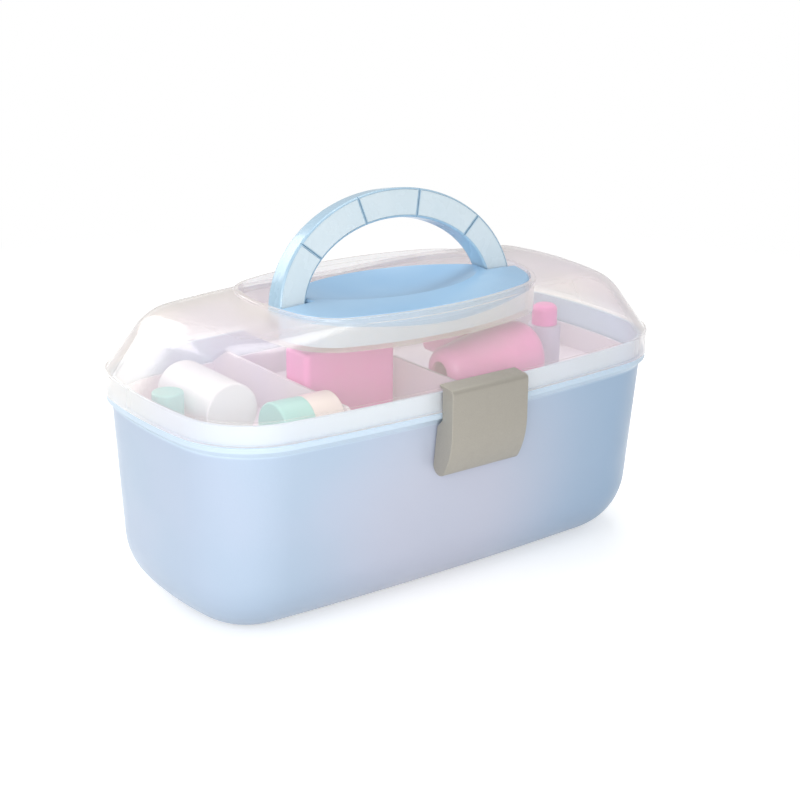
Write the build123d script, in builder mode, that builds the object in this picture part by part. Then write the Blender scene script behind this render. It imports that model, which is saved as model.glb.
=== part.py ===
from build123d import *
from math import atan2, cos, degrees, radians, sin, sqrt, tan
import os

os.makedirs("parts", exist_ok=True)

# Toy beauty case, in millimetres. X runs along the case, the latch faces -Y, and +Z is up.
# The origin is the centre of the flat underside that the case stands on.

# Fits shared by many pieces
seat_gap = 0.3
press_gap = 0.02
pin_clearance = 0.06
skirt_gap = 0.4
cut_margin = 1.0

# Plan of the rim: four bowed sides and rounded corners, measured at the lid's flange
case_length = 260.0
case_width = 137.2
rim_side_bow = 9.27
rim_end_bow = 10.19
rim_corner_radius = 39.0

# Tub
ledge_height = 95.0
collar_height = 8.5
tub_wall = 1.8
tub_floor = 2.0
side_lean = 13.1
end_lean = 0.8
foot_side_bow = 2.97
foot_end_bow = 10.56
foot_corner_radius = 36.7
foot_edge_radius = 32.0
band_inset = 0.3
band_height = 2.4
band_chamfer = 3.4
band_foot_lean = 45.0

# Lid
flange_height = 10.7
flange_wall = 2.2
flange_edge_radius = 0.6
dome_inset = 1.0
dome_wall = 1.6
dome_lean = 36.0
dome_height = 31.5
crown_along = 1600.0
crown_across = 420.0
shoulder_radius = 24.0

# Oval lip and the pocket inside it
lip_end_margin = 59.0
lip_side_margin = 19.1
lip_side_radius = 164.0
lip_end_radius = 78.0
lip_corner_radius = 28.0
lip_thickness = 2.4
lip_rise = 1.0
lip_edge_radius = 0.8
pocket_depth = 15.0
pocket_wall = 1.6

# Folding handle
pivot_y = -6.0
pivot_rise = 6.0
handle_lean = 11.0
handle_half_width = 65.5
handle_reach = 51.0
handle_band = 13.5
handle_thickness = 10.5
handle_edge_radius = 1.2
handle_pin_radius = 2.0
panel_border = 0.9
panel_recess = 0.7
panel_gap = 0.1
inlay_thickness = 0.5
groove_width = 0.5
groove_depth = 1.0
rib_width = 1.2
low_groove_angle = 40.0
high_groove_angle = 74.5
panel_foot = 5.0

# Base plate of the handle
plate_gap = 0.7
plate_arch_gap = 1.8
plate_front = 6.0
plate_rise = 0.5
plate_edge_radius = 1.2
plate_wall = 2.0
scoop_depth = 10.0
scoop_half_length = 53.0
scoop_half_width = 34.0
scoop_y = 4.0
scoop_overrun = 20.0
pin_block_length = 9.0
pin_block_width = 9.0
cradle_height = 4.0
cradle_width = 8.4
cradle_gap = 0.5
pin_end_gap = 0.5
screw_x = 30.0
screw_back_y = 14.0
screw_front_y = -32.0
screw_radius = 1.3
screw_length = 8.0
screw_head_radius = 2.6
screw_head_height = 1.4
screw_hole_gap = 0.2
boss_radius = 3.2

# Back hinges
hinge_x = 70.0
hinge_setback = 3.9
hinge_rise = 2.0
hinge_pin_radius = 1.5
knuckle_radius = 3.8
knuckle_length = 11.4
ear_thickness = 3.5
ear_gap = 0.4
ear_drop = 14.0
ear_root = 14.5
arm_root = 3.8
arm_foot = 1.5
arm_height = 7.5

# Latch
latch_width = 42.5
latch_drop = 24.8
latch_barrel_radius = 4.2
latch_barrel_gap = 0.9
latch_barrel_turn = 25.0
latch_front = 8.0
latch_face_drop = 7.0
latch_wall = 2.0
latch_rise = 2.0
latch_ridge_drop = 1.0
latch_ridge_radius = 2.2
latch_back_gap = 0.7
latch_reach = 0.7
latch_ear_x = 15.0
latch_ear_thickness = 4.0
latch_ear_radius = 2.8
latch_pin_radius = 1.25
latch_ear_gap = 0.4
latch_slot_front = 1.8
latch_slot_depth = 17.0
latch_pin_end = 0.5

# Tray
tray_drop = 16.0
tray_height = 13.0
tray_wall = 1.4
tray_gap = 0.8
divider_height = 21.0
divider_crest_half_width = 49.0
left_divider_x = -57.0
right_divider_x = 3.0
rest_x = 78.0
rest_width = 4.0
rest_depth = 8.0
rest_height = 30.0

# White jar lying along Y
jar_from_end = 38.6
jar_front_y = -12.0
jar_radius = 13.0
jar_length = 48.0
jar_cap_length = 10.0
jar_end_radius = 7.0

# Standing bottle with a teal cap
vial_from_end = 17.0
vial_y = 6.0
vial_radius = 7.0
vial_height = 22.3
vial_cap_height = 11.0

# Tube with a teal cap lying along X
tube_from_end = 42.0
tube_from_front = 30.1
tube_radius = 12.0
tube_length = 30.0
tube_cap_length = 15.0

# Pink box standing on its long side
box_from_divider = 1.8
box_front_y = -14.0
box_length = 49.5
box_depth = 18.0
box_height = 33.0
box_lid_height = 11.0
box_edge_radius = 3.0

# Toy hair dryer lying on its side
dryer_from_divider = 4.3
dryer_from_front = 38.6
dryer_radius = 17.0
dryer_nose_radius = 11.0
dryer_taper_length = 34.0
dryer_length = 54.0
dryer_tail_radius = 9.0
dryer_handle_x = 44.0
dryer_handle_width = 17.0
dryer_handle_depth = 13.0
dryer_handle_edge_radius = 4.3
dryer_handle_reach = 48.0
dryer_button_radius = 3.5
dryer_button_from_barrel = 10.5
dryer_button_gap = 0.4
dryer_button_lip = 0.25
dryer_button_height = 2.5
nozzle_depth = 6.0
grille_slots = 3
grille_slot_width = 1.6

# Perfume bottle with a pink cap
perfume_from_end = 41.0
perfume_y = -10.0
perfume_radius = 8.0
perfume_height = 22.5
perfume_cap_radius = 6.2
perfume_cap_height = 10.0
perfume_cap_end_radius = 3.0

# Necks and caps of the toy bottles
neck_length = 6.0
neck_gap = 0.3
cap_wall = 1.5
cap_gap = 0.1
cap_edge_radius = 1.0
shell_wall = 1.6

# Plan sizes, heights and places that follow from the sizes above
lip_length = case_length - 2 * lip_end_margin
lip_width = case_width - 2 * lip_side_margin
flange_bottom = ledge_height + seat_gap
flange_top = flange_bottom + flange_height
tub_top = ledge_height + collar_height
wall_inset = flange_wall + skirt_gap
wall_slope = side_lean / ledge_height
crest_height = flange_top + dome_height
pocket_floor = crest_height - pocket_depth
pivot_height = pocket_floor + pivot_rise
hinge_y = case_width / 2 + hinge_setback
hinge_height = ledge_height + hinge_rise
tray_bottom = ledge_height - tray_drop
tray_floor = tray_bottom + tray_wall
toy_floor = tray_floor + seat_gap
jar_x = -case_length / 2 + jar_from_end
vial_x = -case_length / 2 + vial_from_end
tube_start_x = -case_length / 2 + tube_from_end
tube_y = -case_width / 2 + tube_from_front
box_left_x = left_divider_x + tray_wall / 2 + box_from_divider
dryer_start_x = right_divider_x + tray_wall / 2 + dryer_from_divider
dryer_y = -case_width / 2 + dryer_from_front
perfume_x = case_length / 2 - perfume_from_end

# The handle's own planes: across its arch, and across its legs at the pivot
handle_inner_half_width = handle_half_width - handle_band
handle_inner_reach = handle_reach - handle_band
handle_up = (0, sin(radians(handle_lean)), cos(radians(handle_lean)))
handle_front = (0, -cos(radians(handle_lean)), sin(radians(handle_lean)))
handle_pivot = (0, pivot_y, pivot_height)
handle_plane = Plane(origin=handle_pivot, x_dir=(1, 0, 0), z_dir=handle_front)
eye_plane = Plane(origin=handle_pivot, x_dir=(1, 0, 0), z_dir=handle_up)


def bow_radius(half_chord, bow):
    """The radius of an arc that rises by its bow over half its chord."""
    return (half_chord**2 + bow**2) / (2 * bow)


def bowed_outline(sketch, length, width, side_radius, end_radius, corner_radius):
    """Draw an outline of four outward-bowed arcs with rounded corners in an open sketch."""
    side_offset = side_radius - width / 2
    end_offset = end_radius - length / 2
    with Locations((0, -side_offset)):
        Circle(side_radius)
    with Locations((0, side_offset)):
        Circle(side_radius, mode=Mode.INTERSECT)
    with Locations(Location((-end_offset, 0, 0), (0, 0, 180))):
        Circle(end_radius, mode=Mode.INTERSECT)
    with Locations((end_offset, 0)):
        Circle(end_radius, mode=Mode.INTERSECT)
    fillet(sketch.vertices(), corner_radius)


def rim_outline(sketch, inset):
    """The plan of the rim, drawn in by an even inset."""
    bowed_outline(
        sketch,
        case_length - 2 * inset,
        case_width - 2 * inset,
        bow_radius(case_length / 2, rim_side_bow) - inset,
        bow_radius(case_width / 2, rim_end_bow) - inset,
        rim_corner_radius - inset,
    )


def foot_outline(sketch, inset):
    """The plan of the tub at its foot, before its lower edge is rounded."""
    half_length = case_length / 2 - wall_inset - end_lean
    half_width = case_width / 2 - wall_inset - side_lean
    bowed_outline(
        sketch,
        2 * (half_length - inset),
        2 * (half_width - inset),
        bow_radius(half_length, foot_side_bow) - inset,
        bow_radius(half_width, foot_end_bow) - inset,
        foot_corner_radius - inset,
    )


def oval_outline(sketch, inset):
    """The plan of the lip on the lid, drawn in by an even inset."""
    bowed_outline(
        sketch,
        lip_length - 2 * inset,
        lip_width - 2 * inset,
        lip_side_radius - inset,
        lip_end_radius - inset,
        lip_corner_radius - inset,
    )


def tub_form(inset, floor_height, top_height):
    """The tub's body as a solid: leaning walls, a rounded foot and an upright collar."""
    with BuildPart() as form:
        with BuildSketch(Plane.XY.offset(floor_height)) as foot:
            foot_outline(foot, inset)
        with BuildSketch(Plane.XY.offset(ledge_height)) as mouth:
            rim_outline(mouth, wall_inset + inset)
        loft(ruled=True)
        fillet(form.edges().group_by(Axis.Z)[0], foot_edge_radius - inset)
        with BuildSketch(Plane.XY.offset(ledge_height)) as collar:
            rim_outline(collar, wall_inset + inset)
        extrude(amount=top_height - ledge_height)
    return form.part


def barrel(apex_height, along, across, side, half_length, centre_y):
    """A barrel along X whose skin passes through the apex, above its axis (side 1) or below (-1).

    The profile is drawn on the far side of the axis, so the skin near the apex has no seam.
    """
    axis_height = apex_height - side * across
    sagitta = along - sqrt(along**2 - half_length**2)
    drawn_apex = axis_height - side * across
    drawn_end = axis_height - side * (across - sagitta)
    with BuildPart() as form:
        with BuildSketch(Plane.XZ.offset(-centre_y)) as profile:
            with BuildLine() as outline:
                Polyline(
                    (half_length, drawn_end),
                    (half_length, axis_height),
                    (-half_length, axis_height),
                    (-half_length, drawn_end),
                )
                ThreePointArc(
                    (-half_length, drawn_end), (0, drawn_apex), (half_length, drawn_end)
                )
            make_face()
        revolve(axis=Axis((0, centre_y, axis_height), (1, 0, 0)))
    return form.part


def crown(rise):
    """Everything below the lid's crowned top, raised or lowered by an even distance."""
    return barrel(
        crest_height + rise, crown_along + rise, crown_across + rise, 1, case_length / 2, 0
    )


def dome_form(start_height, start_inset, depth):
    """The dome as a solid: leaning walls under the crown, with a rounded shoulder."""
    top_form = crown(-depth)
    with BuildPart() as form:
        with BuildSketch(Plane.XY.offset(start_height)) as base:
            rim_outline(base, start_inset)
        extrude(amount=crest_height - start_height + cut_margin, taper=dome_lean)
        add(top_form, mode=Mode.INTERSECT)
        fillet(form.faces().sort_by(Axis.Z)[-1].edges(), shoulder_radius - depth)
    return form.part


def oval_prism(inset, bottom, top_form, edge_radius=0):
    """An upright oval prism cut off by the crown, its upper edge rounded if asked."""
    with BuildPart() as form:
        with BuildSketch(Plane.XY.offset(bottom)) as base:
            oval_outline(base, inset)
        extrude(amount=crest_height + lip_rise + cut_margin - bottom)
        add(top_form, mode=Mode.INTERSECT)
        if edge_radius:
            fillet(form.faces().sort_by(Axis.Z)[-1].edges(), edge_radius)
    return form.part


def keep(builder, name):
    """Label a finished piece and write its file."""
    builder.part.label = name
    export_step(builder.part, f"parts/{name}.step")


def wall_y(height):
    """How far the tub's outer wall stands from the middle, at a height below its ledge."""
    return case_width / 2 - wall_inset - wall_slope * (ledge_height - height)


# Tub: moulded shell with a rim band, latch ears, hinge ears and rests for the tray
tub_outer = tub_form(0, 0, tub_top)
tub_inner = tub_form(tub_wall, tub_floor, tub_top + cut_margin)
latch_pivot_height = ledge_height - latch_drop
latch_pivot_y = -(wall_y(latch_pivot_height) + latch_barrel_radius + latch_barrel_gap)
ear_offset = (knuckle_length + ear_thickness) / 2 + ear_gap
knuckle_reach = knuckle_radius * sqrt(0.5)

with BuildPart() as tub_rests:
    with BuildSketch(Plane.XY.offset(tray_bottom - seat_gap - rest_height)) as rest_plan:
        for side in (-1, 1):
            with Locations((-rest_x, side * wall_y(0)), (rest_x, side * wall_y(0))):
                Rectangle(rest_width, 2 * rest_depth)
    extrude(amount=rest_height)
    add(tub_form(tub_wall / 2, tub_floor / 2, tub_top), mode=Mode.INTERSECT)

with BuildPart() as tub:
    add(tub_outer)
    with BuildSketch(Plane.XY.offset(ledge_height - band_height)) as band_plan:
        rim_outline(band_plan, band_inset)
    extrude(amount=band_height)
    with BuildSketch(Plane.XY.offset(ledge_height - band_height - band_chamfer)) as band_foot:
        rim_outline(band_foot, band_inset + band_chamfer * tan(radians(band_foot_lean)))
    extrude(amount=band_chamfer, taper=-band_foot_lean)
    for ear_x in (-latch_ear_x, latch_ear_x):
        with BuildSketch(Plane.YZ.offset(ear_x - latch_ear_thickness / 2)) as latch_ear:
            with Locations((latch_pivot_y, latch_pivot_height)):
                Circle(latch_ear_radius)
                Rectangle(
                    -wall_y(latch_pivot_height) - latch_pivot_y + cut_margin,
                    latch_ear_radius,
                    align=(Align.MIN, Align.MIN),
                )
        extrude(amount=latch_ear_thickness)
    for hinge_side in (-hinge_x, hinge_x):
        for ear_x in (hinge_side - ear_offset, hinge_side + ear_offset):
            with BuildSketch(Plane.YZ.offset(ear_x - ear_thickness / 2)) as hinge_ear:
                with Locations((hinge_y, hinge_height)):
                    Circle(knuckle_radius)
                Polygon(
                    (hinge_y - ear_root, ledge_height - ear_drop),
                    (hinge_y + knuckle_reach, hinge_height - knuckle_reach),
                    (hinge_y - knuckle_reach, hinge_height + knuckle_reach),
                    (hinge_y - knuckle_radius, ledge_height),
                    (hinge_y - ear_root, ledge_height),
                    align=None,
                )
            extrude(amount=ear_thickness)
    add(tub_inner, mode=Mode.SUBTRACT)
    add(tub_rests.part)
    with BuildSketch(Plane.YZ.offset(-case_length / 2)) as pin_bores:
        with Locations((latch_pivot_y, latch_pivot_height)):
            Circle(latch_pin_radius + press_gap)
        with Locations((hinge_y, hinge_height)):
            Circle(hinge_pin_radius + press_gap)
    extrude(amount=case_length, mode=Mode.SUBTRACT)
keep(tub, "tub")

with BuildPart() as hinge_pins:
    for hinge_side in (-hinge_x, hinge_x):
        pin_half_length = ear_offset + ear_thickness / 2
        with BuildSketch(Plane.YZ.offset(hinge_side - pin_half_length)) as pin_section:
            with Locations((hinge_y, hinge_height)):
                Circle(hinge_pin_radius)
        extrude(amount=2 * pin_half_length)
keep(hinge_pins, "hinge_pins")

# Lid: clear shell with an upright flange, a leaning dome, an oval lip and a pocket
dome_wall_across = dome_wall / cos(radians(dome_lean))
dome_inner_start = flange_top - (dome_inset + dome_wall_across - flange_wall) / tan(
    radians(dome_lean)
)
dome_outer = dome_form(flange_top, dome_inset, 0)
dome_inner = dome_form(dome_inner_start, flange_wall, dome_wall)
under_crown = crown(-dome_wall)
pocket_inner_half_length = lip_length / 2 - lip_thickness
lip_form = oval_prism(0, pocket_floor - pocket_wall, crown(lip_rise), lip_edge_radius)
cup_form = oval_prism(lip_thickness - pocket_wall, pocket_floor - pocket_wall, crown(0))
void_form = oval_prism(lip_thickness, pocket_floor, crown(lip_rise + cut_margin))

with BuildPart() as lip:
    add(lip_form)
    add(under_crown, mode=Mode.SUBTRACT)

with BuildPart() as lid:
    with BuildSketch(Plane.XY.offset(flange_bottom)) as flange_plan:
        rim_outline(flange_plan, 0)
    extrude(amount=flange_height)
    fillet(lid.edges().group_by(Axis.Z)[-1], flange_edge_radius)
    add(dome_outer)
    for hinge_side in (-hinge_x, hinge_x):
        with BuildSketch(Plane.YZ.offset(hinge_side - knuckle_length / 2)) as knuckle:
            with Locations((hinge_y, hinge_height)):
                Circle(knuckle_radius)
            Polygon(
                (case_width / 2 - arm_root, ledge_height + arm_foot),
                (hinge_y - knuckle_reach, hinge_height - knuckle_reach),
                (hinge_y, hinge_height + knuckle_radius),
                (case_width / 2 - arm_root, ledge_height + arm_foot + arm_height),
                align=None,
            )
        extrude(amount=knuckle_length)
    with BuildSketch(Plane.XY.offset(flange_bottom)) as skirt_plan:
        rim_outline(skirt_plan, flange_wall)
    extrude(amount=dome_inner_start - flange_bottom, mode=Mode.SUBTRACT)
    add(dome_inner, mode=Mode.SUBTRACT)
    add(cup_form)
    add(lip.part)
    add(void_form, mode=Mode.SUBTRACT)
    for side in (-1, 1):
        cradle_start = handle_half_width + cradle_gap
        cradle_end = pocket_inner_half_length + pocket_wall / 2
        cradle_x = side * (cradle_start + cradle_end) / 2
        with BuildSketch(Plane.XY.offset(pocket_floor)) as cradle:
            with Locations((cradle_x, pivot_y)):
                Rectangle(cradle_end - cradle_start, cradle_width)
        extrude(amount=pivot_rise + cradle_height)
        with BuildSketch(Plane.XY.offset(pivot_height)) as cradle_slot:
            with Locations((cradle_x, pivot_y)):
                Rectangle(cradle_end - cradle_start, 2 * (handle_pin_radius + pin_clearance))
        extrude(amount=cradle_height + cut_margin, mode=Mode.SUBTRACT)
        with BuildSketch(Plane.YZ.offset(cradle_x - (cradle_end - cradle_start) / 2)) as seat:
            with Locations((pivot_y, pivot_height)):
                Circle(handle_pin_radius + pin_clearance)
        extrude(amount=cradle_end - cradle_start, mode=Mode.SUBTRACT)
    for hinge_side in (-hinge_x, hinge_x):
        with BuildSketch(Plane.YZ.offset(hinge_side - knuckle_length)) as knuckle_bore:
            with Locations((hinge_y, hinge_height)):
                Circle(hinge_pin_radius + pin_clearance)
        extrude(amount=2 * knuckle_length, mode=Mode.SUBTRACT)
    with BuildSketch(Plane.XY.offset(pocket_floor - pocket_wall)) as screw_holes:
        for screw_y in (screw_front_y, screw_back_y):
            with Locations((-screw_x, screw_y), (screw_x, screw_y)):
                Circle(screw_radius + screw_hole_gap)
    extrude(amount=pocket_wall, mode=Mode.SUBTRACT)
keep(lid, "lid")

# Base plate of the handle: crowned plate with a finger scoop, hollow underneath
plate_half_width = handle_inner_half_width - plate_arch_gap
handle_pin_start = plate_half_width - pin_block_length
handle_pin_end = pocket_inner_half_length - pin_end_gap
plate_crown = crown(plate_rise)
core_crown = crown(plate_rise - plate_wall)
scoop_along = (scoop_half_length**2 + scoop_depth**2) / (2 * scoop_depth)
scoop_across = (scoop_half_width**2 + scoop_depth**2) / (2 * scoop_depth)
scoop_apex = crest_height + plate_rise - scoop_depth
scoop = barrel(scoop_apex, scoop_along, scoop_across, -1, scoop_half_length + scoop_overrun, scoop_y)
scoop_skin = barrel(
    scoop_apex - plate_wall,
    scoop_along + plate_wall,
    scoop_across + plate_wall,
    -1,
    scoop_half_length + scoop_overrun,
    scoop_y,
)


def plate_outline(sketch, inset):
    """The front lobe that fills the pocket, and the oval that fits inside the folded handle."""
    oval_outline(sketch, lip_thickness + plate_gap + inset)
    with Locations((0, pivot_y - plate_front - inset)):
        Rectangle(lip_length, lip_width, align=(Align.CENTER, Align.MAX), mode=Mode.INTERSECT)
    with Locations((0, pivot_y)):
        Ellipse(plate_half_width - inset, handle_inner_reach - plate_arch_gap - inset)


pin_block_x = plate_half_width - pin_block_length / 2
with BuildPart() as plate_core:
    with BuildSketch(Plane.XY.offset(pocket_floor)) as core_plan:
        plate_outline(core_plan, plate_wall)
        with Locations((-pin_block_x, pivot_y), (pin_block_x, pivot_y)):
            Rectangle(pin_block_length + plate_wall, pin_block_width, mode=Mode.SUBTRACT)
        for screw_y in (screw_front_y, screw_back_y):
            with Locations((-screw_x, screw_y), (screw_x, screw_y)):
                Circle(boss_radius, mode=Mode.SUBTRACT)
    extrude(amount=pocket_depth)
    add(core_crown, mode=Mode.INTERSECT)
    add(scoop_skin, mode=Mode.SUBTRACT)

with BuildPart() as handle_base:
    with BuildSketch(Plane.XY.offset(pocket_floor)) as plate_plan:
        plate_outline(plate_plan, 0)
    extrude(amount=pocket_depth + cut_margin)
    add(plate_crown, mode=Mode.INTERSECT)
    fillet(handle_base.faces().sort_by(Axis.Z)[-1].edges(), plate_edge_radius)
    add(scoop, mode=Mode.SUBTRACT)
    add(plate_core.part, mode=Mode.SUBTRACT)
    with BuildSketch(Plane.XY.offset(pocket_floor)) as thread_holes:
        for screw_y in (screw_front_y, screw_back_y):
            with Locations((-screw_x, screw_y), (screw_x, screw_y)):
                Circle(screw_radius + press_gap)
    extrude(amount=screw_length, mode=Mode.SUBTRACT)
    for start_x in (-handle_pin_end, handle_pin_start):
        with BuildSketch(Plane.YZ.offset(start_x)) as plate_pin_bore:
            with Locations((pivot_y, pivot_height)):
                Circle(handle_pin_radius + press_gap)
        extrude(amount=handle_pin_end - handle_pin_start, mode=Mode.SUBTRACT)
keep(handle_base, "handle_base")

with BuildPart() as base_screws:
    with BuildSketch(Plane.XY.offset(pocket_floor - pocket_wall - screw_head_height)) as heads:
        for screw_y in (screw_front_y, screw_back_y):
            with Locations((-screw_x, screw_y), (screw_x, screw_y)):
                Circle(screw_head_radius)
    extrude(amount=screw_head_height)
    with BuildSketch(Plane.XY.offset(pocket_floor - pocket_wall)) as shanks:
        for screw_y in (screw_front_y, screw_back_y):
            with Locations((-screw_x, screw_y), (screw_x, screw_y)):
                Circle(screw_radius)
    extrude(amount=screw_length)
keep(base_screws, "base_screws")

with BuildPart() as handle_pins:
    for start_x in (-handle_pin_end, handle_pin_start):
        with BuildSketch(Plane.YZ.offset(start_x)) as handle_pin_section:
            with Locations((pivot_y, pivot_height)):
                Circle(handle_pin_radius)
        extrude(amount=handle_pin_end - handle_pin_start)
keep(handle_pins, "handle_pins")

# Handle: half-oval arch on round eyes, with five recessed panels and four grooves in front
def arch_outline(outer_inset, inner_inset, foot):
    """Draw the arch's band above its foot, drawn in from its outer and inner edges."""
    Ellipse(handle_half_width - outer_inset, handle_reach - outer_inset)
    Ellipse(
        handle_inner_half_width + inner_inset,
        handle_inner_reach + inner_inset,
        mode=Mode.SUBTRACT,
    )
    with Locations((0, foot)):
        Rectangle(
            2 * handle_half_width,
            2 * handle_reach,
            align=(Align.CENTER, Align.MAX),
            mode=Mode.SUBTRACT,
        )


def across_band(width, mode):
    """Draw a bar across the band at each place where two panels meet."""
    for angle in (
        low_groove_angle,
        high_groove_angle,
        180 - high_groove_angle,
        180 - low_groove_angle,
    ):
        outer_x = handle_half_width * cos(radians(angle))
        outer_y = handle_reach * sin(radians(angle))
        inner_x = handle_inner_half_width * cos(radians(angle))
        inner_y = handle_inner_reach * sin(radians(angle))
        slant = degrees(atan2(outer_y - inner_y, outer_x - inner_x))
        middle = ((outer_x + inner_x) / 2, (outer_y + inner_y) / 2, 0)
        with Locations(Location(middle, (0, 0, slant))):
            Rectangle(2 * handle_band, width, mode=mode)


front_plane = handle_plane.offset(handle_thickness / 2)
with BuildPart() as handle:
    with BuildSketch(handle_plane) as arch:
        arch_outline(0, 0, 0)
    extrude(amount=handle_thickness / 2, both=True)
    arch_edges = handle.edges().filter_by(GeomType.ELLIPSE)
    fillet(arch_edges, handle_edge_radius)
    for side in (-1, 1):
        with BuildSketch(eye_plane) as eye:
            with Locations((side * (handle_half_width - handle_band / 2), 0)):
                Rectangle(handle_band, handle_thickness / 2, align=(Align.CENTER, Align.MAX))
            fillet(eye.vertices().group_by(Axis.Y)[0], handle_edge_radius)
        revolve(axis=Axis(handle_pivot, (1, 0, 0)), revolution_arc=180)
    with BuildSketch(front_plane) as panels:
        arch_outline(panel_border, panel_border, panel_foot)
        across_band(rib_width, Mode.SUBTRACT)
    extrude(amount=-panel_recess, mode=Mode.SUBTRACT)
    with BuildSketch(front_plane) as grooves:
        across_band(groove_width, Mode.ADD)
    extrude(amount=-groove_depth, mode=Mode.SUBTRACT)
    with BuildSketch(Plane.YZ.offset(-handle_half_width - cut_margin)) as eye_bore:
        with Locations((pivot_y, pivot_height)):
            Circle(handle_pin_radius + pin_clearance)
    extrude(amount=2 * (handle_half_width + cut_margin), mode=Mode.SUBTRACT)
keep(handle, "handle")

with BuildPart() as handle_inlays:
    with BuildSketch(handle_plane.offset(handle_thickness / 2 - panel_recess)) as inlay_plan:
        inlay_border = panel_border + panel_gap
        arch_outline(inlay_border, inlay_border, panel_foot + panel_gap)
        across_band(rib_width + 2 * panel_gap, Mode.SUBTRACT)
    extrude(amount=inlay_thickness)
keep(handle_inlays, "handle_inlays")

# Latch: hollow flap on a barrel at its foot, hooked over the flange
latch_face_y = -(case_width / 2 + latch_front)
latch_top = flange_top + latch_rise
hook_bottom = flange_top + seat_gap
face_foot_height = ledge_height - latch_face_drop
flange_y = -case_width / 2
clear_of_flange_y = flange_y - latch_back_gap
band_bottom = ledge_height - band_height - band_chamfer
dome_y_at_top = flange_y + dome_inset + latch_rise * tan(radians(dome_lean))
barrel_turn = radians(latch_barrel_turn)
barrel_tangent = (
    latch_pivot_y - latch_barrel_radius * cos(barrel_turn),
    latch_pivot_height - latch_barrel_radius * sin(barrel_turn),
)
hollow_foot_height = latch_pivot_height + latch_barrel_radius
face_radius = (
    (barrel_tangent[0] - latch_face_y) ** 2 + (face_foot_height - barrel_tangent[1]) ** 2
) / (2 * (barrel_tangent[0] - latch_face_y))
hollow_front_y = (
    latch_face_y
    + latch_wall
    + face_radius
    - sqrt(face_radius**2 - (face_foot_height - hollow_foot_height) ** 2)
)
with BuildPart() as latch:
    with BuildSketch(Plane.YZ.offset(-latch_width / 2)) as latch_side:
        with BuildLine() as latch_line:
            Polyline(
                (latch_pivot_y + latch_barrel_radius, latch_pivot_height),
                (-wall_y(band_bottom) - latch_back_gap, band_bottom - latch_back_gap),
                (clear_of_flange_y, ledge_height - band_height - latch_back_gap / 2),
                (clear_of_flange_y, hook_bottom),
                (flange_y + latch_reach, hook_bottom),
                (dome_y_at_top - latch_back_gap, latch_top),
                (latch_face_y, latch_top - latch_ridge_drop),
                (latch_face_y, face_foot_height),
            )
            TangentArc((latch_face_y, face_foot_height), barrel_tangent, tangent=(0, -1))
            ThreePointArc(
                barrel_tangent,
                (latch_pivot_y, latch_pivot_height - latch_barrel_radius),
                (latch_pivot_y + latch_barrel_radius, latch_pivot_height),
            )
        make_face()
        ridge = latch_side.vertices().sort_by_distance((latch_face_y, latch_top))[0]
        fillet(ridge, latch_ridge_radius)
    extrude(amount=latch_width)
    with BuildSketch(Plane.YZ.offset(latch_wall - latch_width / 2)) as latch_hollow:
        with BuildLine() as hollow_line:
            Polyline(
                (hollow_front_y, hollow_foot_height),
                (-wall_y(latch_pivot_height) + cut_margin, hollow_foot_height),
                (-wall_y(latch_pivot_height) + cut_margin, hook_bottom),
                (latch_face_y + latch_wall, hook_bottom),
                (latch_face_y + latch_wall, face_foot_height),
            )
            TangentArc(
                (latch_face_y + latch_wall, face_foot_height),
                (hollow_front_y, hollow_foot_height),
                tangent=(0, -1),
            )
        make_face()
    extrude(amount=latch_width - 2 * latch_wall, mode=Mode.SUBTRACT)
    for ear_x in (-latch_ear_x, latch_ear_x):
        slot_half_width = latch_ear_thickness / 2 + latch_ear_gap
        with BuildSketch(Plane.YZ.offset(ear_x - slot_half_width)) as ear_slot:
            with Locations((latch_pivot_y, latch_pivot_height)):
                Circle(latch_ear_radius + latch_ear_gap)
            with Locations((latch_pivot_y - latch_slot_front, latch_pivot_height)):
                Rectangle(
                    latch_slot_depth,
                    2 * latch_barrel_radius + cut_margin,
                    align=(Align.MIN, Align.CENTER),
                )
        extrude(amount=2 * slot_half_width, mode=Mode.SUBTRACT)
    with BuildSketch(Plane.YZ.offset(latch_wall - latch_width / 2)) as latch_bore:
        with Locations((latch_pivot_y, latch_pivot_height)):
            Circle(latch_pin_radius + pin_clearance)
    extrude(amount=latch_width, mode=Mode.SUBTRACT)
keep(latch, "latch")

with BuildPart() as latch_pin:
    latch_pin_start = latch_wall - latch_width / 2 + latch_pin_end
    with BuildSketch(Plane.YZ.offset(latch_pin_start)) as latch_pin_section:
        with Locations((latch_pivot_y, latch_pivot_height)):
            Circle(latch_pin_radius)
    extrude(amount=latch_width / 2 - latch_pin_end - latch_pin_start)
keep(latch_pin, "latch_pin")

# Tray: open tray on four rests, with two dividers
tray_outer = tub_form(tub_wall + tray_gap, tub_floor, tub_top)
tray_inner = tub_form(tub_wall + tray_gap + tray_wall, tub_floor, tub_top)
tray_half_width = wall_y(tray_bottom + tray_height) - tub_wall - tray_gap - tray_wall
with BuildPart() as tray_hollow:
    with BuildSketch(Plane.XY.offset(tray_floor)) as hollow_slab:
        Rectangle(case_length, case_width)
    extrude(amount=tray_height)
    add(tray_inner, mode=Mode.INTERSECT)

with BuildPart() as tray_dividers:
    for divider_x in (left_divider_x, right_divider_x):
        with BuildSketch(Plane.YZ.offset(divider_x - tray_wall / 2)) as divider_side:
            Polygon(
                (-case_width / 2, tray_floor),
                (case_width / 2, tray_floor),
                (case_width / 2, tray_bottom + tray_height),
                (tray_half_width, tray_bottom + tray_height),
                (divider_crest_half_width, tray_bottom + divider_height),
                (-divider_crest_half_width, tray_bottom + divider_height),
                (-tray_half_width, tray_bottom + tray_height),
                (-case_width / 2, tray_bottom + tray_height),
                align=None,
            )
        extrude(amount=tray_wall)
    add(tray_outer, mode=Mode.INTERSECT)

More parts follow.
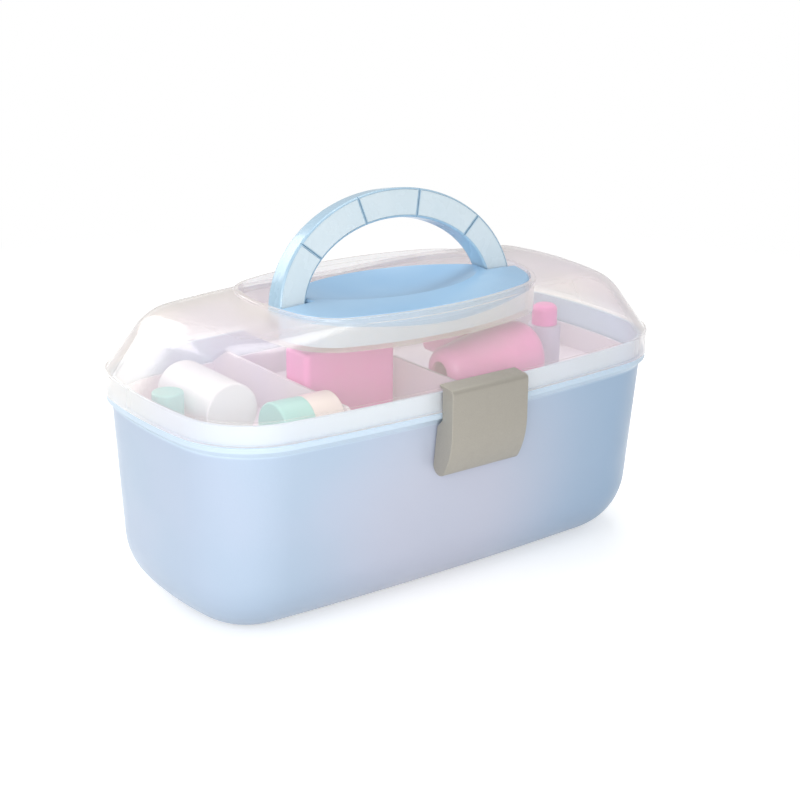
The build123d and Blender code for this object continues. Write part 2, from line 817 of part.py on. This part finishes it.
with BuildPart() as tray:
    with BuildSketch(Plane.XY.offset(tray_bottom)) as tray_slab:
        Rectangle(case_length, case_width)
    extrude(amount=tray_height)
    add(tray_outer, mode=Mode.INTERSECT)
    add(tray_hollow.part, mode=Mode.SUBTRACT)
    add(tray_dividers.part)
keep(tray, "tray")


def round_body(plane, radius, length, far_radius):
    """A toy bottle from its far end to its neck, drawn along the plane's normal."""
    with BuildPart() as form:
        with BuildSketch(plane) as section:
            Circle(radius)
        extrude(amount=length)
        far_end = form.faces().sort_by(Axis(plane.origin, plane.z_dir))[0]
        fillet(far_end.edges(), far_radius)
        with BuildSketch(plane.offset(length)) as neck:
            Circle(radius - cap_wall - neck_gap)
        extrude(amount=neck_length)
    return form.part


def round_cap(plane, radius, length, bore_radius, end_radius):
    """A cap from its open end, drawn along the plane's normal, with a bore for the neck."""
    with BuildPart() as form:
        with BuildSketch(plane) as section:
            Circle(radius)
        extrude(amount=length)
        closed_end = form.faces().sort_by(Axis(plane.origin, plane.z_dir))[-1]
        fillet(closed_end.edges(), end_radius)
        with BuildSketch(plane) as bore:
            Circle(bore_radius)
        extrude(amount=neck_length + neck_gap, mode=Mode.SUBTRACT)
    return form.part


# White jar: lies along Y with its cap towards the front
jar_plane = Plane(
    origin=(jar_x, jar_front_y + jar_length, toy_floor + jar_radius),
    x_dir=(1, 0, 0),
    z_dir=(0, -1, 0),
)
jar_body_length = jar_length - jar_cap_length - cap_gap
with BuildPart() as jar_body:
    add(round_body(jar_plane, jar_radius, jar_body_length, jar_end_radius))
keep(jar_body, "jar_body")
with BuildPart() as jar_cap:
    add(
        round_cap(
            jar_plane.offset(jar_length - jar_cap_length),
            jar_radius,
            jar_cap_length,
            jar_radius - cap_wall,
            cap_edge_radius,
        )
    )
keep(jar_cap, "jar_cap")

# Small bottle with a teal cap: stands at the left end
vial_plane = Plane.XY.offset(toy_floor).moved(Location((vial_x, vial_y, 0)))
vial_body_height = vial_height - vial_cap_height - cap_gap
with BuildPart() as vial_body:
    add(round_body(vial_plane, vial_radius, vial_body_height, cap_edge_radius))
keep(vial_body, "vial_body")
with BuildPart() as vial_cap:
    add(
        round_cap(
            vial_plane.offset(vial_height - vial_cap_height),
            vial_radius,
            vial_cap_height,
            vial_radius - cap_wall,
            cap_edge_radius,
        )
    )
keep(vial_cap, "vial_cap")

# Tube with a teal cap: lies along X at the front left, with its cap to the left
tube_plane = Plane(
    origin=(tube_start_x + tube_length, tube_y, toy_floor + tube_radius),
    x_dir=(0, 1, 0),
    z_dir=(-1, 0, 0),
)
tube_body_length = tube_length - tube_cap_length - cap_gap
with BuildPart() as tube_body:
    add(round_body(tube_plane, tube_radius, tube_body_length, cap_edge_radius))
keep(tube_body, "tube_body")
with BuildPart() as tube_cap:
    add(
        round_cap(
            tube_plane.offset(tube_length - tube_cap_length),
            tube_radius,
            tube_cap_length,
            tube_radius - cap_wall,
            cap_edge_radius,
        )
    )
keep(tube_cap, "tube_cap")

# Small bottle with a pink cap: stands at the right
perfume_plane = Plane.XY.offset(toy_floor).moved(Location((perfume_x, perfume_y, 0)))
with BuildPart() as perfume_bottle:
    add(round_body(perfume_plane, perfume_radius, perfume_height - cap_gap, cap_edge_radius))
    neck_cut_radius = perfume_cap_radius - cap_wall - neck_gap
    with BuildSketch(perfume_plane.offset(perfume_height - cap_gap)) as neck_ring:
        Circle(perfume_radius)
        Circle(neck_cut_radius, mode=Mode.SUBTRACT)
    extrude(amount=neck_length, mode=Mode.SUBTRACT)
keep(perfume_bottle, "perfume_bottle")
with BuildPart() as perfume_cap:
    add(
        round_cap(
            perfume_plane.offset(perfume_height),
            perfume_cap_radius,
            perfume_cap_height,
            perfume_cap_radius - cap_wall,
            perfume_cap_end_radius,
        )
    )
keep(perfume_cap, "perfume_cap")

# Pink box: stands on its long side, a base with a lid that slips over its collar
box_middle_x = box_left_x + box_length / 2
box_middle_y = box_front_y + box_depth / 2
box_seam = tray_floor + box_height - box_lid_height
with BuildPart() as box_base:
    with BuildSketch(Plane.XY.offset(tray_floor)) as base_plan:
        with Locations((box_middle_x, box_middle_y)):
            RectangleRounded(box_length, box_depth, box_edge_radius)
    extrude(amount=box_height - box_lid_height)
    with BuildSketch(Plane.XY.offset(box_seam)) as collar_plan:
        with Locations((box_middle_x, box_middle_y)):
            RectangleRounded(
                box_length - 2 * shell_wall - 2 * cap_gap,
                box_depth - 2 * shell_wall - 2 * cap_gap,
                box_edge_radius - shell_wall,
            )
    extrude(amount=shell_wall)
    with BuildSketch(Plane.XY.offset(tray_floor + shell_wall)) as base_hollow:
        with Locations((box_middle_x, box_middle_y)):
            Rectangle(box_length - 4 * shell_wall, box_depth - 4 * shell_wall)
    extrude(amount=box_height, mode=Mode.SUBTRACT)
keep(box_base, "box_base")
with BuildPart() as box_lid:
    with BuildSketch(Plane.XY.offset(box_seam)) as lid_plan:
        with Locations((box_middle_x, box_middle_y)):
            RectangleRounded(box_length, box_depth, box_edge_radius)
    extrude(amount=box_lid_height)
    fillet(box_lid.faces().sort_by(Axis.Z)[-1].edges(), box_edge_radius - cap_edge_radius)
    with BuildSketch(Plane.XY.offset(box_seam)) as lid_hollow:
        with Locations((box_middle_x, box_middle_y)):
            RectangleRounded(
                box_length - 2 * shell_wall, box_depth - 2 * shell_wall, box_edge_radius - shell_wall
            )
    extrude(amount=box_lid_height - shell_wall, mode=Mode.SUBTRACT)
keep(box_lid, "box_lid")

# Toy hair dryer: two shells that meet on a flat seam, a tail grille and a push button
dryer_axis_height = toy_floor + dryer_radius
dryer_end_x = dryer_start_x + dryer_length


def dryer_form(wall):
    """The dryer's barrel and handle as one solid, drawn in by its wall."""
    with BuildPart() as form:
        with BuildSketch(Plane.XZ.offset(-dryer_y)) as half_section:
            with BuildLine() as half_line:
                Polyline(
                    (dryer_end_x - wall, dryer_axis_height),
                    (dryer_start_x + wall, dryer_axis_height),
                    (dryer_start_x + wall, dryer_axis_height + dryer_nose_radius - wall),
                    (
                        dryer_start_x + dryer_taper_length,
                        dryer_axis_height + dryer_radius - wall,
                    ),
                    (
                        dryer_end_x - dryer_tail_radius,
                        dryer_axis_height + dryer_radius - wall,
                    ),
                )
                TangentArc(
                    (
                        dryer_end_x - dryer_tail_radius,
                        dryer_axis_height + dryer_radius - wall,
                    ),
                    (
                        dryer_end_x - wall,
                        dryer_axis_height + dryer_radius - dryer_tail_radius,
                    ),
                    tangent=(1, 0),
                )
                Line(
                    (
                        dryer_end_x - wall,
                        dryer_axis_height + dryer_radius - dryer_tail_radius,
                    ),
                    (dryer_end_x - wall, dryer_axis_height),
                )
            make_face()
            nose = half_section.vertices().sort_by_distance(
                (dryer_start_x, dryer_axis_height + dryer_nose_radius)
            )[0]
            fillet(nose, dryer_nose_radius / 2)
        revolve(axis=Axis((0, dryer_y, dryer_axis_height), (1, 0, 0)))
        with BuildSketch(Plane.XZ.offset(-dryer_y)) as grip:
            with Locations((dryer_handle_x, dryer_axis_height)):
                RectangleRounded(
                    dryer_handle_width - 2 * wall,
                    dryer_handle_depth - 2 * wall,
                    dryer_handle_edge_radius - wall,
                )
        extrude(amount=-dryer_handle_reach + wall)
    return form.part


dryer_outer = dryer_form(0)
dryer_inner = dryer_form(shell_wall)
grille_radius = dryer_radius - dryer_tail_radius
button_y = dryer_y + dryer_radius + dryer_button_from_barrel
with BuildPart() as dryer_shell:
    add(dryer_outer)
    add(dryer_inner, mode=Mode.SUBTRACT)
    with BuildSketch(Plane.YZ.offset(dryer_start_x - cut_margin)) as nozzle:
        with Locations((dryer_y, dryer_axis_height)):
            Circle(dryer_nose_radius / 2)
    extrude(amount=nozzle_depth, mode=Mode.SUBTRACT)
    with BuildSketch(Plane.YZ.offset(dryer_end_x + cut_margin)) as tail_hole:
        with Locations((dryer_y, dryer_axis_height)):
            Circle(grille_radius)
    extrude(amount=-shell_wall - 2 * cut_margin, mode=Mode.SUBTRACT)
    with BuildSketch(Plane.XY.offset(dryer_axis_height)) as button_hole:
        with Locations((dryer_handle_x, button_y)):
            Circle(dryer_button_radius + dryer_button_gap)
    extrude(amount=dryer_handle_depth, mode=Mode.SUBTRACT)

with BuildPart() as dryer_shell_upper:
    add(dryer_shell.part)
    split(bisect_by=Plane.XY.offset(dryer_axis_height), keep=Keep.TOP)
keep(dryer_shell_upper, "dryer_shell_upper")
with BuildPart() as dryer_shell_lower:
    add(dryer_shell.part)
    split(bisect_by=Plane.XY.offset(dryer_axis_height), keep=Keep.BOTTOM)
keep(dryer_shell_lower, "dryer_shell_lower")

with BuildPart() as dryer_grille:
    with BuildSketch(Plane.YZ.offset(dryer_end_x - shell_wall)) as grille_plan:
        with Locations((dryer_y, dryer_axis_height)):
            Circle(grille_radius - cap_gap)
            with GridLocations(1, grille_radius / 2, 1, grille_slots):
                Rectangle(grille_radius, grille_slot_width, mode=Mode.SUBTRACT)
    extrude(amount=shell_wall)
keep(dryer_grille, "dryer_grille")

dryer_button_stem = dryer_button_height + shell_wall + seat_gap
with BuildPart() as dryer_button:
    button_top = dryer_axis_height + dryer_handle_depth / 2 + dryer_button_height
    with BuildSketch(Plane.XY.offset(button_top)) as button_plan:
        with Locations((dryer_handle_x, button_y)):
            Circle(dryer_button_radius)
    extrude(amount=-dryer_button_stem)
    fillet(dryer_button.faces().sort_by(Axis.Z)[-1].edges(), cap_edge_radius)
    with BuildSketch(Plane.XY.offset(button_top - dryer_button_stem)) as button_foot:
        with Locations((dryer_handle_x, button_y)):
            Circle(dryer_button_radius + dryer_button_gap + dryer_button_lip)
    extrude(amount=-cap_wall / 2)
keep(dryer_button, "dryer_button")
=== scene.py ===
from math import radians

import bmesh
import bpy
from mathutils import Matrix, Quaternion, Vector


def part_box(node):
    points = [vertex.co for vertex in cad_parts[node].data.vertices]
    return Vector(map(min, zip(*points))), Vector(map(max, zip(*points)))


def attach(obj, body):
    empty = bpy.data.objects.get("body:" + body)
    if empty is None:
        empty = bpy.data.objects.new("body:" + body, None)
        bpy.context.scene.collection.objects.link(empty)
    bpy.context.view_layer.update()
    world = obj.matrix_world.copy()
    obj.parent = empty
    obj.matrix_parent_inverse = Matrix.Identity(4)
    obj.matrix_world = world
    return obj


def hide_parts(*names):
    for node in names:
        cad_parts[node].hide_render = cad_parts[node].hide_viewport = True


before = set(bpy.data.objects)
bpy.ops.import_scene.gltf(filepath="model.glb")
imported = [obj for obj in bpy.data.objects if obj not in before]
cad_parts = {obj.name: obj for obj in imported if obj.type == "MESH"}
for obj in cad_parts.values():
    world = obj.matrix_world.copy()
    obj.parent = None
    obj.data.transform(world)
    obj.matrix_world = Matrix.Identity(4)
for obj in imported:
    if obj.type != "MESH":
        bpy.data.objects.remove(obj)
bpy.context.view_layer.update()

# Camera: at the height and side that the picture was taken from, looking down on the latch
# side and the left end. The slight roll and shift are the picture's own framing.
camera_place = Vector((-0.4548, -0.6155, 0.3386))
camera_target = Vector((0.0081, 0.0, 0.0785))
camera_roll = radians(0.42)
camera_data = bpy.data.cameras.new("camera")
camera_data.sensor_width = 36.0
camera_data.lens = 77.2
camera_data.shift_y = -0.0049
camera_data.clip_end = 20.0
camera = bpy.data.objects.new("camera", camera_data)
bpy.context.collection.objects.link(camera)
camera.location = camera_place
camera.rotation_mode = "QUATERNION"
camera.rotation_quaternion = (camera_target - camera_place).to_track_quat(
    "-Z", "Y"
) @ Quaternion((0, 0, 1), camera_roll)
bpy.context.scene.camera = camera
bpy.context.scene.view_settings.view_transform = "Standard"


# Floor: plain and pale. It takes the object's shadow close by, and away from the object it
# is seen as plain white, as in the picture.


class Value:
    """A socket of a finish, which takes part in plain sums and products."""

    def __init__(self, finish, socket):
        self.finish = finish
        self.socket = socket

    def math(self, operation, first, second):
        return self.finish.node(
            "ShaderNodeMath", {"operation": operation}, {0: first, 1: second}
        )

    def __add__(self, other):
        return self.math("ADD", self, other)

    def __mul__(self, other):
        return self.math("MULTIPLY", self, other)

    def __pow__(self, other):
        return self.math("POWER", self, other)

    __radd__ = __add__
    __rmul__ = __mul__


class Finish:
    """A material and the nodes that it is made of."""

    def __init__(self, name):
        self.material = bpy.data.materials.new(name)
        self.material.use_nodes = True
        self.tree = self.material.node_tree
        self.tree.nodes.clear()

    def node(self, kind, settings, inputs, output=0):
        """One node, with its settings and the values or links of its sockets."""
        made = self.tree.nodes.new(kind)
        for name, value in settings.items():
            setattr(made, name, value)
        for name, value in inputs.items():
            if isinstance(value, Value):
                self.tree.links.new(value.socket, made.inputs[name])
            else:
                made.inputs[name].default_value = value
        return Value(self, made.outputs[output]) if made.outputs else None

    def place(self):
        """Where a point of the surface lies, in the case's own frame."""
        return self.node("ShaderNodeTexCoord", {}, {}, 3)

    def noise(self, scale, detail=2.0):
        return self.node(
            "ShaderNodeTexNoise",
            {"noise_dimensions": "3D"},
            {"Vector": self.place(), "Scale": scale, "Detail": detail},
        )

    def between(self, value, low, high, start=0.0, end=1.0):
        """A number that goes softly from start to end as the value goes from low to high."""
        return self.node(
            "ShaderNodeMapRange",
            {"interpolation_type": "SMOOTHSTEP"},
            {"Value": value, "From Min": low, "From Max": high, "To Min": start, "To Max": end},
        )

    def drift(self, scale, start=0.0, end=1.0, spread=0.2):
        """A number that wanders over the surface between start and end."""
        return self.between(self.noise(scale), 0.5 - spread, 0.5 + spread, start, end)

    def blend(self, share, first, second):
        """A colour between two others."""
        return self.node(
            "ShaderNodeMix",
            {"data_type": "RGBA", "clamp_factor": True},
            {0: share, 6: first, 7: second},
            2,
        )

    def bump(self, height, depth):
        return self.node(
            "ShaderNodeBump", {}, {"Height": height, "Distance": depth, "Strength": 1.0}
        )

    def plastic(self, inputs):
        return self.node("ShaderNodeBsdfPrincipled", {}, inputs)

    def show(self, shader):
        self.node("ShaderNodeOutputMaterial", {}, {"Surface": shader})
        return self.material


def tint(code):
    """A solid colour in linear light from its usual six-figure code."""
    parts = [int(code[i : i + 2], 16) / 255 for i in (0, 2, 4)]
    return [
        part / 12.92 if part <= 0.04045 else ((part + 0.055) / 1.055) ** 2.4 for part in parts
    ] + [1.0]


floor_size = 6.0
floor_shaded_reach = 0.35
floor_white_reach = 0.7
floor_lift = 0.45
floor_finish = Finish("floor")
floor_path = floor_finish.node("ShaderNodeLightPath", {}, {})
floor_rays = floor_path.socket.node.outputs
floor_seen = floor_finish.node(
    "ShaderNodeMath",
    {"operation": "ADD", "use_clamp": True},
    {
        0: floor_path,
        1: Value(floor_finish, floor_rays["Is Glossy Ray"])
        + Value(floor_finish, floor_rays["Is Transmission Ray"]),
    },
)
floor_distance = floor_finish.node(
    "ShaderNodeVectorMath", {"operation": "LENGTH"}, {0: floor_finish.place()}, "Value"
)
floor_glow = floor_finish.node("ShaderNodeEmission", {}, {"Strength": floor_seen * floor_lift})
floor_white = floor_finish.node("ShaderNodeEmission", {}, {"Strength": 1.0})
floor_plain = floor_finish.plastic(
    {"Base Color": tint("EBEBEB"), "Roughness": 0.9, "Specular IOR Level": 0.1}
)
floor_near = floor_finish.node("ShaderNodeAddShader", {}, {0: floor_plain, 1: floor_glow})
floor_far = floor_seen * floor_finish.between(
    floor_distance, floor_shaded_reach, floor_white_reach
)
floor_material = floor_finish.show(
    floor_finish.node(
        "ShaderNodeMixShader", {}, {0: floor_far, 1: floor_near, 2: floor_white}
    )
)
bpy.ops.mesh.primitive_plane_add(size=floor_size, location=(0, 0, 0))
floor = bpy.context.object
floor.name = "floor"
floor.data.materials.append(floor_material)

# Light: a white room, a large soft lamp on the left, a nearer one in front of the left end,
# one overhead and one behind.
world = bpy.data.worlds.new("room")
bpy.context.scene.world = world
world.use_nodes = True
room = world.node_tree
room.nodes.clear()
room_path = room.nodes.new("ShaderNodeLightPath")
room_light = room.nodes.new("ShaderNodeBackground")
room_light.inputs["Color"].default_value = (0.97, 0.985, 1.0, 1)
room_light.inputs["Strength"].default_value = 0.5
room_white = room.nodes.new("ShaderNodeBackground")
room_white.inputs["Color"].default_value = (1, 1, 1, 1)
room_mix = room.nodes.new("ShaderNodeMixShader")
room_out = room.nodes.new("ShaderNodeOutputWorld")
room.links.new(room_path.outputs["Is Camera Ray"], room_mix.inputs[0])
room.links.new(room_light.outputs[0], room_mix.inputs[1])
room.links.new(room_white.outputs[0], room_mix.inputs[2])
room.links.new(room_mix.outputs[0], room_out.inputs[0])

lamp_aim = Vector((0, 0, 0.08))
lamps = (
    ("lamp_left", (-1.1, -0.5, 0.75), (0.9, 0.7), 4.2, (1.0, 0.985, 0.96)),
    ("lamp_front", (-0.42, -0.62, 0.30), (0.4, 0.3), 2.3, (1.0, 0.985, 0.96)),
    ("lamp_top", (0.1, 0.3, 1.3), (1.0, 0.6), 7.5, (1.0, 0.985, 0.965)),
    ("lamp_back", (-0.35, 1.3, 0.7), (0.8, 0.6), 5.0, (1.0, 0.99, 0.98)),
)
for lamp_name, lamp_place, lamp_size, lamp_power, lamp_colour in lamps:
    lamp_data = bpy.data.lights.new(lamp_name, "AREA")
    lamp_data.shape = "RECTANGLE"
    lamp_data.size, lamp_data.size_y = lamp_size
    lamp_data.energy = lamp_power
    lamp_data.color = lamp_colour
    lamp = bpy.data.objects.new(lamp_name, lamp_data)
    bpy.context.collection.objects.link(lamp)
    lamp.location = lamp_place
    lamp.rotation_euler = (lamp_aim - lamp.location).to_track_quat("-Z", "Y").to_euler()

# Tub: one moulded shell of pale blue plastic under the lid's flange. Its skin is satin with a
# fine mould grain. Its colour drifts softly between blue and lilac and is paler on the rim
# band. Painted shade makes it a deeper blue towards the right end, and a painted glow makes it
# a little pinker where light from the pink contents shows through its front.


def dress(material, *nodes):
    """Give the material to each named piece of the case."""
    for name in nodes:
        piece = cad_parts[name]
        for slot in piece.material_slots:
            slot.material = material


tub_band_foot = 0.0885
tub_band_full = 0.0905
# Where the painted shade on the right end is full.
tub_painted_shade_end = 0.13
# Painted glow: a pinker patch on the front where light from the pink contents shows through.
tub_glow_middle = (-0.01, -0.05, 0.045)
tub_glow_core = 0.02
tub_glow_reach = 0.085
tub_glow_share = 0.7
tub_band_share = 0.75
tub = Finish("tub_plastic")
tub_height = tub.node("ShaderNodeSeparateXYZ", {}, {"Vector": tub.place()}, "Z")
tub_band = tub.between(tub_height, tub_band_foot, tub_band_full)
tub_across = tub.node("ShaderNodeSeparateXYZ", {}, {"Vector": tub.place()}, "X")
tub_drift = tub.drift(14.0, spread=0.15)
tub_reach = tub.node(
    "ShaderNodeVectorMath",
    {"operation": "DISTANCE"},
    {0: tub.place(), 1: tub_glow_middle},
    "Value",
)
# Painted glow of the contents, full at the core and gone at the reach.
tub_painted_glow = tub.between(tub_reach, tub_glow_core, tub_glow_reach, 1.0, 0.0)
# Painted shade: the wall turns a deeper blue towards the right end.
tub_painted_shade_right = tub.between(tub_across, 0.0, tub_painted_shade_end)
tub_wall = tub.blend(
    tub_painted_glow * tub_glow_share,
    tub.blend(
        tub_painted_shade_right,
        tub.blend(tub_drift, tint("ADC0D6"), tint("B3C2D8")),
        tint("8FADCB"),
    ),
    tint("C4C4D4"),
)
dress(
    tub.show(
        tub.plastic(
            {
                "Base Color": tub.blend(
                    tub_band * tub_band_share, tub_wall, tint("CFE2F2")
                ),
                "Roughness": tub.drift(60.0, 0.30, 0.38),
                "Normal": tub.bump(tub.noise(900.0, 3.0), 0.00004),
                "Coat Weight": 0.15,
                "Coat Roughness": 0.2,
            }
        )
    ),
    "tub",
)

# Lid: clear moulded shell with a milky veil, which thickens where it is seen edge on.
# Highlights lie on top of the veil, and light passes through to what is inside.
clear_haze_facing = 0.17
clear_haze_edge_on = 0.42
clear_gloss_facing = 0.035
clear_gloss_edge_on = 0.9
clear_light_let_through = 0.95
clear = Finish("lid_plastic")
clear_edge = clear.node("ShaderNodeLayerWeight", {}, {"Blend": 0.5}, 1)
clear_waves = clear.bump(clear.noise(45.0, 1.0), 0.0002)
clear_veil = clear.plastic(
    {
        "Base Color": clear.blend(
            clear.drift(9.0, spread=0.15), tint("F2E8DC"), tint("EEE2E8")
        ),
        "Roughness": 0.45,
        "Specular IOR Level": 0.2,
    }
)
clear_open = clear.node("ShaderNodeBsdfTransparent", {}, {"Color": (1, 1, 1, 1)})
clear_haze = clear_edge**2.0 * clear_haze_edge_on + clear_haze_facing
clear_body = clear.node(
    "ShaderNodeMixShader", {}, {0: clear_haze, 1: clear_open, 2: clear_veil}
)
clear_gloss = clear.node(
    "ShaderNodeBsdfGlossy",
    {},
    {"Color": (1, 1, 1, 1), "Roughness": 0.12, "Normal": clear_waves},
)
clear_shine = clear_edge**5.0 * clear_gloss_edge_on + clear_gloss_facing
clear_shell = clear.node(
    "ShaderNodeMixShader", {}, {0: clear_shine, 1: clear_body, 2: clear_gloss}
)
clear_path = clear.node("ShaderNodeLightPath", {}, {}, "Is Shadow Ray")
clear_rays = clear_path.socket.node.outputs
clear_lit = (clear_path + Value(clear, clear_rays["Is Diffuse Ray"])) * clear_light_let_through
dress(
    clear.show(
        clear.node("ShaderNodeMixShader", {}, {0: clear_lit, 1: clear_shell, 2: clear_open})
    ),
    "lid",
)

# Handle: folding arch moulded in glossy sky blue plastic, a shade greyer than its panels.
# It swings on two pins between the base plate and the pocket's cradles.
arch = Finish("handle_plastic")
dress(
    arch.show(
        arch.plastic(
            {
                "Base Color": arch.blend(arch.drift(30.0), tint("A3C2D8"), tint("ABC9DC")),
                "Roughness": arch.drift(80.0, 0.24, 0.32),
                "Normal": arch.bump(arch.noise(1100.0), 0.00003),
                "Coat Weight": 0.4,
                "Coat Roughness": 0.12,
            }
        )
    ),
    "handle",
)

# Base plate of the handle: blue moulding screwed down in the pocket, with a dished finger
# scoop. Its colour is the deepest blue on the case.
plate = Finish("plate_plastic")
dress(
    plate.show(
        plate.plastic(
            {
                "Base Color": plate.blend(plate.drift(24.0), tint("93BADB"), tint("9CC0DE")),
                "Roughness": plate.drift(70.0, 0.28, 0.36),
                "Normal": plate.bump(plate.noise(1000.0), 0.00003),
                "Coat Weight": 0.3,
                "Coat Roughness": 0.15,
            }
        )
    ),
    "handle_base",
)

# Handle panels: five pale glossy inlays pressed into the front of the arch, parted by thin
# grooves.
panel = Finish("panel_plastic")
dress(
    panel.show(
        panel.plastic(
            {
                "Base Color": panel.blend(panel.drift(40.0), tint("D5E4EC"), tint("DBE8EF")),
                "Roughness": panel.drift(120.0, 0.22, 0.3),
                "Normal": panel.bump(panel.noise(700.0), 0.00003),
                "Coat Weight": 0.5,
                "Coat Roughness": 0.1,
            }
        )
    ),
    "handle_inlays",
)

# Latch: hollow flap of warm grey plastic with a fine metal flake in it. Its side edges are
# rounded off, and it turns on a pin between two ears of the tub.
grey = Finish("latch_plastic")
grey_flake = grey.node(
    "ShaderNodeTexVoronoi", {"feature": "F1"}, {"Vector": grey.place(), "Scale": 2500.0}
)
grey_material = grey.show(
    grey.plastic(
        {
            "Base Color": grey.blend(
                grey.between(grey_flake, 0.1, 0.7), tint("A9A49A"), tint("A19D94")
            ),
            "Metallic": 0.25,
            "Roughness": grey.drift(300.0, 0.38, 0.48),
            "Normal": grey.bump(grey.noise(1300.0, 3.0), 0.00001),
        }
    )
)
latch_low, latch_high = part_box("latch")
latch_half_width = (latch_high[0] - latch_low[0]) / 2
latch_edge_radius = 0.0013
latch_weld = 0.000005
latch_flat_angle = radians(1.0)
latch_corner_angle = radians(20)
latch_shading_angle = radians(35)
latch_form = bmesh.new()
latch_form.from_mesh(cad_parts["latch"].data)
bmesh.ops.remove_doubles(latch_form, verts=latch_form.verts, dist=latch_weld)
bmesh.ops.dissolve_limit(
    latch_form,
    angle_limit=latch_flat_angle,
    verts=latch_form.verts,
    edges=latch_form.edges,
)
latch_sides = [
    edge
    for edge in latch_form.edges
    if all(abs(abs(vert.co.x) - latch_half_width) < 2 * latch_weld for vert in edge.verts)
    and len(edge.link_faces) == 2
    and edge.calc_face_angle() > latch_corner_angle
]
bmesh.ops.bevel(
    latch_form,
    geom=latch_sides,
    offset=latch_edge_radius,
    offset_type="OFFSET",
    segments=4,
    profile=0.5,
    affect="EDGES",
    clamp_overlap=True,
    material=-1,
)
latch_mesh = bpy.data.meshes.new("latch_flap")
latch_form.to_mesh(latch_mesh)
latch_form.free()
for face in latch_mesh.polygons:
    face.use_smooth = True
latch_mesh.set_sharp_from_angle(angle=latch_shading_angle)
latch_mesh.materials.append(grey_material)
latch_flap = bpy.data.objects.new("latch_flap", latch_mesh)
bpy.context.collection.objects.link(latch_flap)
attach(latch_flap, "latch")
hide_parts("latch")

# Pins and screws: drawn steel, pressed or screwed into the plastic, and hardly seen from
# outside.
steel = Finish("pin_steel_wire")
steel_lines = steel.noise(2000.0, 2.0)
dress(
    steel.show(
        steel.plastic(
            {
                "Base Color": steel.blend(steel_lines, tint("B4B6BA"), tint("C8CACC")),
                "Metallic": 1.0,
                "Roughness": steel.between(steel_lines, 0.3, 0.7, 0.25, 0.4),
            }
        )
    ),
    "hinge_pins",
    "latch_pin",
    "handle_pins",
    "base_screws",
)

# Tray: lift-out moulding in pale lilac satin plastic, with two dividers. It rests on four
# ribs of the tub and carries the toys.


def toy_plastic(name, first, second, roughness=0.28):
    """Shiny toy plastic whose colour drifts a little between two near shades."""
    roughness_drift = 0.08
    toy = Finish(name)
    return toy.show(
        toy.plastic(
            {
                "Base Color": toy.blend(toy.drift(35.0), tint(first), tint(second)),
                "Roughness": toy.drift(90.0, roughness, roughness + roughness_drift),
                "Normal": toy.bump(toy.noise(1000.0), 0.00003),
                "Coat Weight": 0.3,
                "Coat Roughness": 0.1,
            }
        )
    )


dress(toy_plastic("tray_plastic", "E0D8E6", "E8DEE6", 0.4), "tray")

# Jar and small bottles: a white jar lying on its side, and two cream bottles with push-fit
# teal caps. Each is a plain turned form with a neck under its cap.
dress(toy_plastic("white_plastic", "F2F2F4", "ECEFF4"), "jar_body", "jar_cap")
dress(toy_plastic("cream_plastic", "F2DDE0", "F4E4DC"), "vial_body", "tube_body")
dress(toy_plastic("teal_plastic", "8ED6CF", "9BDAD2"), "vial_cap", "tube_cap")

# Pink toys: a box with a slip-on lid, a hair dryer of two shells with a deep pink grille and
# button, and a lilac bottle with a pink cap.
dress(toy_plastic("pink_plastic", "FB7CC8", "F98ACE"), "box_base", "box_lid", "perfume_cap")
dress(
    toy_plastic("rose_plastic", "F68CC8", "F298CC"), "dryer_shell_upper", "dryer_shell_lower"
)
dress(toy_plastic("deep_pink_plastic", "DE5FA4", "E26CAC"), "dryer_grille", "dryer_button")
dress(toy_plastic("lilac_plastic", "C6C2D8", "CECAE0"), "perfume_bottle")
